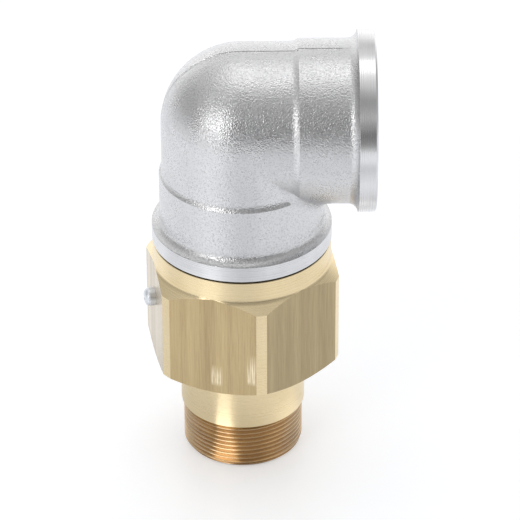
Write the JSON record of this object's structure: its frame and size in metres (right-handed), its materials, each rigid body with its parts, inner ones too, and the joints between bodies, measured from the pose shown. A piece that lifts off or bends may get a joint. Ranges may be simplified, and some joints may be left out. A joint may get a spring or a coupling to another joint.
{
  "type": "hose reel swivel",
  "caption": "Right-angle hose reel swivel: a brass hexagon casing with a male thread, and a nickel-plated threaded elbow that turns on it.",
  "frame": {"origin": "centre of the male thread's bottom end face, on the swivel axis", "axes": "+Z along the swivel axis, from the male thread up to the elbow; +X out of the elbow's hose port"},
  "size_m": [0.0688, 0.0594, 0.1389],
  "materials": {
    "brass": "turned and milled brass, satin",
    "nickel_casting": "nickel-plated casting, satin",
    "zinc_steel": "bright zinc-plated steel",
    "stainless": "turned stainless steel",
    "bearing_steel": "ground bearing steel",
    "spring_steel": "phosphated spring steel",
    "seal_rubber": "black nitrile rubber",
    "ptfe": "white PTFE",
    "cage_nylon": "natural nylon"
  },
  "bodies": {
    "casing_body": {"casing": "brass", "main_seal": "seal_rubber", "backup_ring": "ptfe", "grease_seal": "seal_rubber", "dust_seal": "seal_rubber", "casing_retaining_ring": "spring_steel", "lower_outer_ring": "bearing_steel", "upper_outer_ring": "bearing_steel", "outer_spacer": "stainless", "grease_nipple": "zinc_steel", "check_spring": "spring_steel"},
    "elbow_body": {"elbow": "nickel_casting", "spindle": "stainless", "lower_inner_ring": "bearing_steel", "upper_inner_ring": "bearing_steel", "inner_spacer": "stainless", "spindle_retaining_ring": "spring_steel"},
    "lower_ball_train": {"lower_cage": "cage_nylon", "lower_balls": "bearing_steel"},
    "upper_ball_train": {"upper_cage": "cage_nylon", "upper_balls": "bearing_steel"},
    "check_ball_body": {"check_ball": "bearing_steel"}
  },
  "joints": [
    {"name": "elbow_swivel", "type": "hinge", "parent": "casing_body", "child": "elbow_body", "pos_m": [0, 0, 0.0729], "axis": [0, 0, 1], "continuous": true},
    {"name": "lower_ball_roll", "type": "hinge", "parent": "casing_body", "child": "lower_ball_train", "pos_m": [0, 0, 0.0479], "axis": [0, 0, 1], "continuous": true},
    {"name": "upper_ball_roll", "type": "hinge", "parent": "casing_body", "child": "upper_ball_train", "pos_m": [0, 0, 0.0609], "axis": [0, 0, 1], "continuous": true},
    {"name": "check_ball_slide", "type": "slide", "parent": "casing_body", "child": "check_ball_body", "axis": [0.9829, 0.184, 0], "range_m": [0, 0.0006], "stiffness_N_per_m": 200, "springref_m": -0.0012, "deforming": ["check_spring"]}
  ],
  "couplings": [
    {"joint": "lower_ball_roll", "follows": "elbow_swivel", "ratio": 0.4516},
    {"joint": "upper_ball_roll", "follows": "elbow_swivel", "ratio": 0.4516}
  ]
}
